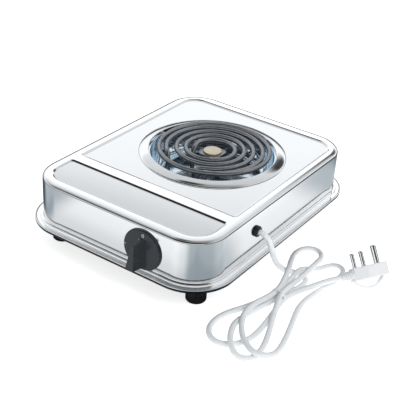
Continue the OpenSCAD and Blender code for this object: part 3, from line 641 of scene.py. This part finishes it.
def make_tray():
    """The tray's rolled rim, a hair outside the CAD tray's own rim."""
    r, z = CORNER_R + 9.35, TRAY_Z - 0.15
    profile = [(CORNER_R - 20, z), *arc(r - 1.8, z + 1.8, 1.8, -90, 0, 6)]
    profile += [*arc(r - 0.35, z + 4.2, 0.35, 0, 90, 5), *arc(r - 0.95, z + 4.2, 0.35, 90, 180, 5)]
    profile += [(r - 1.3, z + 2.1), *arc(r - 2.1, z + 2.1, 0.8, 0, -90, 4), (CORNER_R - 20, z + 1.3)]
    bm = bmesh.new()
    sweep_body(bm, profile)
    mesh_piece("tray_rim", bm, "tray_steel", sharp=50)


# ---- Burner ----

BURNER_AT = Matrix.Translation(at(*BURNER, 0))
COIL_Z = 85.2
TUBE_R = 2.7
LEG_BEND = 9
LEG_END_Z = 47
# Start angle, start radius, growth in each turn, turns, and how far the last part tucks in
COILS = {"inner_coil": (195, 20.5, 10.6, 2.733, 0), "outer_coil": (225, 52.4, 8.6, 1.8, 80)}
TUCK_FROM = 1.45


def make_ring():
    bm = bmesh.new()
    z = PANEL_Z
    profile = [(73.3, z + 0.6), (72.5, z + 0.6), (72.5, z + 2.9), *arc(73.5, z + 2.9, 1.0, 180, 75, 8)]
    profile += [(76.5, z + 3.35), (79, z + 2.75), (81.5, z + 1.95), (83.2, z + 1.2), (83.8, z + 0.8)]
    profile += [(84, z + 0.4), (84, z), (82.4, z), (82.4, z + 0.4), (74.4, z + 2.7), (73.3, z + 2.8)]
    lathe(bm, profile, BURNER_AT, 160)
    mesh_piece("ring_spun", bm, "chrome_trim", replaces=("burner_ring",), sharp=50)


def make_bowl():
    """The reflector bowl: a flat floor, a round wall and a flange under the ring, in thin bright sheet."""
    flat, deep, wall, sheet = 56, 27.5, 15.6, 0.6
    quarter = arc(0, 0, 1, 0, -90, 12)
    outer, inner = ([(flat + (wall - thick) * x, PANEL_Z + (deep - thick) * y) for x, y in quarter]
        for thick in (0, sheet))
    floor = PANEL_Z - deep
    profile = [(79, PANEL_Z), (79, PANEL_Z + sheet), *inner, (30, floor + sheet), (2.3, floor + sheet)]
    bm = bmesh.new()
    lathe(bm, profile + [(2.3, floor), (30, floor)] + outer[::-1], BURNER_AT, 128)
    mesh_piece("bowl_spun", bm, "bowl_steel", replaces=("reflector_bowl",), sharp=50)


def coil_point(coil, t):
    a0, r0, grow, _, tuck = coil
    a = math.radians(a0 - 360 * t)
    r = r0 + grow * t - tuck * max(0, t - TUCK_FROM) ** 2
    return Vector((r * math.cos(a), r * math.sin(a), COIL_Z)), Vector((math.sin(a), -math.cos(a), 0))


def coil_path(coil):
    turns = coil[3]
    steps = int(turns * 90)
    path = [coil_point(coil, turns * i / steps)[0] for i in range(steps + 1)]
    for t, side in ((0, -1), (turns, 1)):
        spot, way = coil_point(coil, t)
        bend = [spot + side * LEG_BEND * math.sin(a) * way - Vector((0, 0, LEG_BEND * (1 - math.cos(a))))
            for a in (math.radians(7.5 * k) for k in range(1, 13))]
        foot = bend[-1].copy()
        foot.z = LEG_END_Z
        path = [foot] + bend[::-1] + path if side < 0 else path + bend + [foot]
    return [BURNER_AT @ (p * MM) for p in path]


def make_coils():
    for name, coil in COILS.items():
        curve_piece(name + "_tube", coil_path(coil), TUBE_R * MM, "element_sheath", replaces=(name,), sides=8)


def make_cap():
    bm = bmesh.new()
    profile = [(4.2, 81.5), (4.2, 83.25), (0, 83.25), (0, 83.95), (7.2, 83.9), (8.1, 83.8), (8.4, 83.62)]
    profile += [(8.8, 83.64), *arc(9.6, 83, 0.66, 90, 0, 5), (10.2, 82.4), (9.6, 82.1), (9.5, 81.5)]
    lathe(bm, profile, BURNER_AT, 64)
    mesh_piece("cap_pressed", bm, "cream_enamel", replaces=("center_cap",), sharp=50)


# ---- Knob ----

KNOB_AT = Matrix.Translation(at(SHAFT_X, -BODY_D / 2, SHAFT_Z)) @ Matrix.Rotation(math.pi / 2, 4, "X")
# The grip's turn on the skirt, and its reach to the pointer end
GRIP_TURN = Matrix.Rotation(math.radians(-7), 4, "Z")
GRIP_TOP = 14


def make_knob():
    """A domed skirt with a tapered bar grip, made with Z pointing out from the wall."""
    bm = bmesh.new()
    profile = [(0, 2.2), (20.5, 2.2), (20.5, 2), (22.4, 2), *arc(22.4, 2.6, 0.6, -90, 0, 4)]
    profile += [*arc(21.6, 4.9, 1.4, 0, 90, 6), (18, 6.5), (0, 6.6)]
    lathe(bm, profile, KNOB_AT, 96, closed=False)
    mesh_piece("knob_skirt", bm, "dark_knob", "knob", replaces=("knob",), sharp=45)

    bm = bmesh.new()
    # Half widths at the pointer end and at the tail, reach to the tail, and height above the wall
    sections = [(6.0, 9.6, 17.6, 6.2), (4.6, 8.6, 17.5, 6.9), (3.4, 7.6, 17.3, 8.2), (2.7, 6.8, 17.1, 10.5),
        (2.3, 6.1, 16.9, 14.5), (2.1, 5.6, 16.7, 18.5), (2.0, 5.3, 16.5, 21.6), (1.7, 4.9, 16.1, 22.8),
        (1.1, 4.2, 15.5, 23.2)]
    rings = []
    for top_w, tail_w, tail, z in sections:
        points = []
        for sx, sy, a0 in QUARTERS:
            half_w, reach = (top_w, GRIP_TOP) if sy > 0 else (tail_w, tail)
            corner = min(1.5, half_w * 0.5)
            points += arc(sx * (half_w - corner), sy * (reach - corner), corner, a0, a0 + 90, 4)
        rings.append([bm.verts.new(GRIP_TURN @ (Vector((x, y, z)) * MM)) for x, y in points])
    skin(bm, rings)
    bm.faces.new(rings[-1])
    bm.faces.new(rings[0][::-1])
    bmesh.ops.transform(bm, matrix=KNOB_AT, verts=bm.verts)
    mesh_piece("knob_grip", bm, "dark_knob", "knob", sharp=38)

    zero = [(1.15 * math.cos(a), 1.75 * math.sin(a)) for a in (2 * math.pi * k / 24 for k in range(24))]
    loop = [KNOB_AT @ (Vector((x + 1.4, 17.2 + y, 6.6)) * MM) for x, y in zero]
    mark = curve_piece("mark_off", loop, 0.3 * MM, "dark_knob", "knob", cyclic=True, sides=2)
    bar = [KNOB_AT @ (Vector((-20.8 + x, 0.5, 6.35)) * MM) for x in (-1.3, 0, 1.3)]
    line = curve_piece("mark_on", bar, 0.3 * MM, "dark_knob", "knob", sides=2)
    for obj in (mark, line):
        obj.data.materials[0] = materials["mark_paint"]


# ---- Feet and grommet ----


def make_feet():
    bm = bmesh.new()
    for sx in (-1, 1):
        for sy in (-1, 1):
            profile = [(4.5, 10), (4.5, 0.4), (4.9, 0), *arc(8.8, 2.2, 2.2, -90, 0, 6), (11, 8), (11.1, 20)]
            profile += [(11.1, TRAY_Z), (2.05, TRAY_Z), (2.05, 10)]
            lathe(bm, profile, Matrix.Translation(at(sx * 91, sy * 122, 0)), 64)
    mesh_piece("feet_moulded", bm, "black_rubber", replaces=("feet",), sharp=50)


def make_grommet():
    place = Matrix.Translation(at(BODY_W / 2, GROMMET_Y, GROMMET_Z)) @ Matrix.Rotation(math.pi / 2, 4, "Y")
    profile = [(3.05, -3), (6, -3), (6, -1), (4.58, -1), (4.58, 0), (5.9, 0), (6.1, 0.4), (6.1, 1.2)]
    profile += [*arc(3.9, 1.6, 2.2, 0, 85, 8), (3.05, 3.7)]
    bm = bmesh.new()
    lathe(bm, profile, place, 48)
    mesh_piece("grommet_moulded", bm, "black_rubber", replaces=("cable_grommet",), sharp=50)


# ---- Studio ----

# How strongly the floor glows, how bright the reflection cards are, and the dome's radius in metres
FLOOR_GLOW = 0.75
REFLECTED = 1.5
DOME_R = 8
# The cards' colour where they are bright
CARD_TINT = (0.965, 0.985, 1.0)


def stage_mesh(name, bm, material, reflection_only=False):
    mesh = bpy.data.meshes.new(name)
    bm.to_mesh(mesh)
    bm.free()
    mesh.polygons.foreach_set("use_smooth", [True] * len(mesh.polygons))
    mesh.materials.append(material)
    obj = bpy.data.objects.new(name, mesh)
    bpy.context.scene.collection.objects.link(obj)
    if reflection_only:
        obj.visible_camera = False
        obj.visible_diffuse = False
        obj.visible_shadow = False
        obj.visible_transmission = False
        obj.visible_volume_scatter = False
    return obj


def make_floor():
    """A plain pale floor that glows a little, so the part stands on clean white."""
    bm = bmesh.new()
    bmesh.ops.create_grid(bm, x_segments=8, y_segments=8, size=7)
    m = Nodes("studio_floor")
    m.base((0.9, 0.9, 0.9), 0.0, 0.9)
    m.mix(m.band(m.noise(3), 0, 1), (0.9, 0.9, 0.9), (0.93, 0.93, 0.93))
    m.shader.inputs["Specular IOR Level"].default_value = 0.1
    m.shader.inputs["Emission Color"].default_value = (1, 1, 1, 1)
    m.shader.inputs["Emission Strength"].default_value = FLOOR_GLOW
    floor = stage_mesh("floor", bm, m.material)
    floor.location.z = -0.0003
    floor.visible_glossy = False


class Glow(Nodes):
    """The glow of a reflection card: a product of ramps over its own coordinates."""

    def __init__(self, name):
        super().__init__(name)
        self.tree.nodes.remove(self.shader)
        self.glow = self.add("Emission")
        self.link(self.glow.outputs[0], self.tree.nodes["Material Output"].inputs["Surface"])
        self.x, self.y, self.z = self.axes()
        self.factors = []

    def ramp(self, source, low, high, stops):
        """Multiplies the glow by a smooth ramp: stops are (place, strength), places from low to high."""
        node = self.add("ValToRGB")
        node.color_ramp.interpolation = "EASE"
        self.link(self.band(source, 0, 1, low, high), node.inputs["Fac"])
        while len(node.color_ramp.elements) < len(stops):
            node.color_ramp.elements.new(0.5)
        for element, (place, strength) in zip(node.color_ramp.elements, stops):
            element.position = (place - low) / (high - low)
            element.color = (strength, strength, strength, 1)
        self.factors.append(node.outputs["Color"])

    def shade(self, one, other, strength):
        """Multiplies the glow by strength where both masks are 1."""
        self.ramp(self.math("MINIMUM", one, other), 0, 1, [(0.0, 1.0), (1.0, strength)])

    def spot(self, way, inner, outer, strength):
        """Multiplies the glow by strength within inner degrees of a direction, easing off to outer."""
        axes = (self.x, self.y, self.z)
        parts = [self.math("MULTIPLY", axis, part / DOME_R) for axis, part in zip(axes, way)]
        along = self.math("ADD", self.math("ADD", parts[0], parts[1]), parts[2])
        near, far = math.cos(math.radians(inner)), math.cos(math.radians(outer))
        self.ramp(along, 0.9, 1, [(far, 1.0), (near, strength)])

    def close(self, strength, dim=CARD_TINT):
        """Ends the chain. dim is the colour that the glow takes where it's weak."""
        total = self.factors[0]
        for factor in self.factors[1:]:
            total = self.math("MULTIPLY", total, factor)
        tint = self.add("Mix", data_type="RGBA")
        self.link(self.band(total, 0, 1, 0.3, 0.75), tint.inputs["Factor"])
        tint.inputs[6].default_value = (*dim, 1)
        tint.inputs[7].default_value = (*CARD_TINT, 1)
        self.link(tint.outputs[2], self.glow.inputs["Color"])
        self.link(self.math("MULTIPLY", total, strength), self.glow.inputs["Strength"])
        return self.material


def make_reflection_floor():
    """What the walls mirror: a floor that is greyer close to the part and in front of its near corner."""
    bm = bmesh.new()
    bmesh.ops.create_grid(bm, x_segments=1, y_segments=1, size=3)
    m = Glow("reflection_floor")
    side = m.math("SUBTRACT", m.math("ABSOLUTE", m.x), BODY_W / 2 * MM)
    front = m.math("SUBTRACT", m.math("ABSOLUTE", m.math("SUBTRACT", m.y, FRAME_Y * MM)), BODY_D / 2 * MM)
    m.ramp(m.math("MAXIMUM", side, front), 0, 0.2, [(0.0, 0.6), (0.05, 0.72), (0.085, 0.9), (0.12, 1.0)])
    m.ramp(m.math("MAXIMUM", side, front), -0.03, 0.03, [(0.0, 0.03), (0.014, 1.0)])
    corner = at(BODY_W / 2 - CORNER_R, CORNER_R - BODY_D / 2, 0)
    turn = m.math("ARCTAN2", m.math("SUBTRACT", m.y, corner.y), m.math("SUBTRACT", m.x, corner.x))
    m.ramp(turn, -2.2, 1.4, [(-1.75, 1.0), (-1.4, 0.85), (-1.05, 0.49), (-0.2, 0.46), (0.35, 0.62),
        (0.72, 0.8), (0.95, 1.22)])
    m.ramp(m.y, 0, 0.4, [(0.12, 1.0), (0.2, 0.56), (0.3, 0.1)])
    m.shade(m.band(m.x, 1, 0, -0.19, -0.15), m.band(m.y, 0, 1, -0.16, -0.1), 0.1)
    m.ramp(m.x, -0.3, 0, [(-0.165, 0.5), (-0.12, 1.0)])
    away = m.math("SQRT", m.math("ADD", m.math("MULTIPLY", m.x, m.x), m.math("MULTIPLY", m.y, m.y)))
    m.ramp(away, 0, 2, [(0.6, 1.0), (1.2, 0.08)])
    card = stage_mesh("reflection_floor", bm, m.close(REFLECTED, (0.83, 0.985, 1.07)), reflection_only=True)
    card.location.z = -0.0002


def make_reflection_dome():
    """What the top mirrors: a bright band low down, a dark ceiling and a dark line at the horizon."""
    bm = bmesh.new()
    bmesh.ops.create_uvsphere(bm, u_segments=64, v_segments=32, radius=DOME_R)
    below = [v for v in bm.verts if v.co.z < -0.01]
    bmesh.ops.delete(bm, geom=below, context="VERTS")
    m = Glow("reflection_dome")
    height = m.math("DIVIDE", m.z, DOME_R)
    m.ramp(height, 0, 1, [(0.0, 0.06), (0.14, 0.08), (0.24, 0.9), (0.34, 1.0), (0.475, 1.0), (0.525, 0.78),
        (0.6, 0.7), (0.85, 0.6), (0.95, 0.3)])
    m.shade(m.band(height, 0, 1, 0.52, 0.62), m.band(m.y, 1, 0, -0.02 * DOME_R, 0.12 * DOME_R), 0.03)
    low = m.band(height, 1, 0, 0.3, 0.42)
    rear = m.band(m.y, 0, 1, -0.5 * DOME_R, -0.35 * DOME_R)
    m.shade(m.math("MINIMUM", low, rear), m.band(m.x, 0, 1, 0.36 * DOME_R, 0.46 * DOME_R), 0.04)
    m.spot((-0.128, 0.860, 0.494), 5, 12, 0.06)
    m.spot((-0.332, 0.223, 0.917), 3, 9, 0.1)
    stage_mesh("reflection_dome", bm, m.close(REFLECTED), reflection_only=True)


def area_light(name, spot, aim, size, power):
    """A soft light that the metal doesn't mirror."""
    data = bpy.data.lights.new(name, "AREA")
    data.shape = "RECTANGLE"
    data.size, data.size_y = size
    data.energy = power
    obj = bpy.data.objects.new(name, data)
    obj.location = spot
    obj.rotation_euler = (Vector(aim) - Vector(spot)).to_track_quat("-Z", "Y").to_euler()
    obj.visible_glossy = False
    bpy.context.scene.collection.objects.link(obj)


def make_lights():
    world = bpy.data.worlds.new("studio")
    bpy.context.scene.world = world
    world.use_nodes = True
    world.node_tree.nodes["Background"].inputs["Color"].default_value = (0.96, 0.98, 1.0, 1)
    world.node_tree.nodes["Background"].inputs["Strength"].default_value = 0.52
    area_light("key", (1.2, -0.3, 1.2), (0.1, 0, 0.05), (0.8, 0.8), 9)
    bpy.context.scene.view_settings.view_transform = "Standard"


def dress_cad_nodes():
    slots = {s["node"]: s["material_slot"] for s in frame["record"]["subparts"]}
    for name, obj in frame["nodes"].items():
        obj.data.materials.clear()
        obj.data.materials.append(materials[slots[name]])


make_camera()
dress_cad_nodes()
cord_points = cord_line()
cord = curve_piece("mains_cord", cord_points, CORD_D / 2 * MM, "white_pvc", replaces=("power_cord",), sides=6)
make_plug()
make_tie()
make_housing()
make_tray()
make_ring()
make_bowl()
make_coils()
make_cap()
make_knob()
make_feet()
make_grommet()
make_floor()
make_reflection_floor()
make_reflection_dome()
make_lights()

# The lead, plug and knob stay out of the metal's reflections, which keeps the walls clean
for obj in bpy.context.scene.objects:
    if obj.name.startswith(("mains_cord", "plug_", "line_pins", "earth_pin", "tie_band", "knob", "mark_")):
        obj.visible_glossy = False
